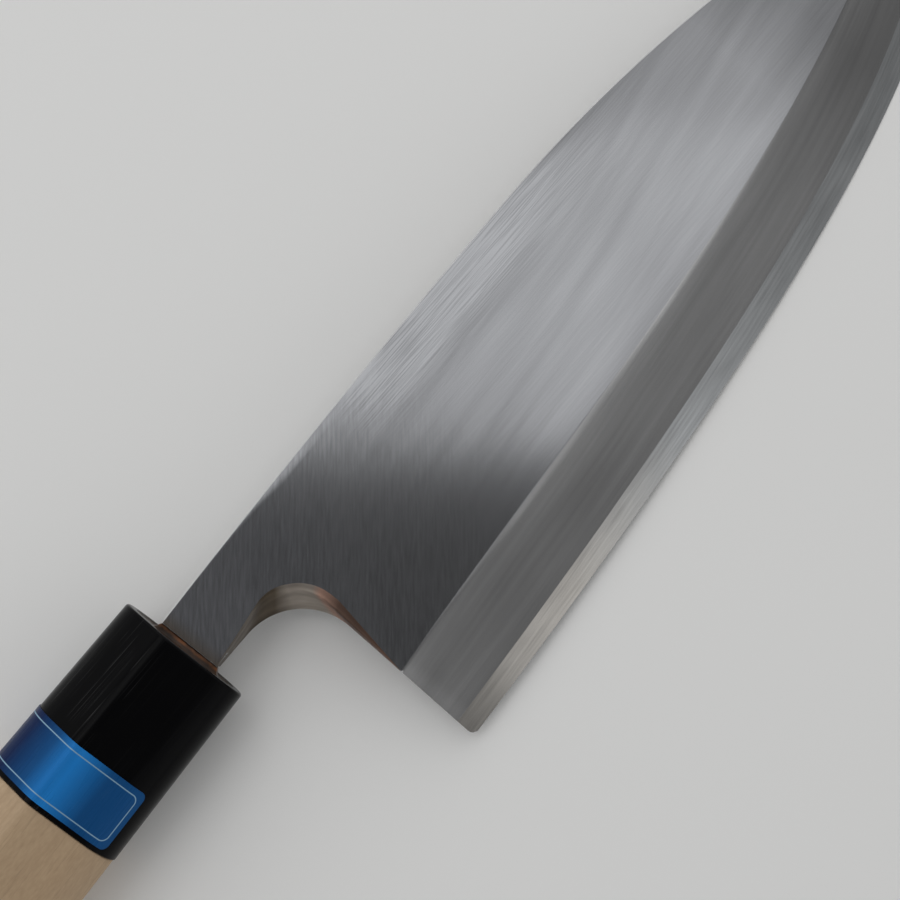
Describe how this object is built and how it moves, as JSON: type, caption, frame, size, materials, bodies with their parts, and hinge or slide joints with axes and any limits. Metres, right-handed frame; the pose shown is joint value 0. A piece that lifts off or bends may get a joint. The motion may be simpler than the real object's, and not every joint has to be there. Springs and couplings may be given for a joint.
{
  "type": "deba knife",
  "caption": "Single-bevel kitchen knife with a wide, thick blade, a finger notch before the heel, a tapered wooden handle of D section, a black moulded ferrule and a plain foil label.",
  "frame": {"origin": "bottom centre of the bounding box, with the knife lying on the back of its handle", "axes": "+X along the handle's axis to the tip, +Y to the spine, +Z out of the bevelled front face"},
  "size_m": [0.3386, 0.064, 0.0249],
  "materials": {
    "blade_steel": "fine lengthwise grind, satin bevel",
    "ferrule_plastic": "polished black",
    "handle_wood": "bare, sanded",
    "bedding_resin": "cast resin",
    "seal_resin": "cast resin",
    "label_foil": "glossy foil"
  },
  "bodies": {
    "root": {"blade": "blade_steel", "ferrule": "ferrule_plastic", "handle": "handle_wood", "tang_bedding": "bedding_resin", "mouth_seal": "seal_resin", "label": "label_foil"}
  },
  "joints": []
}
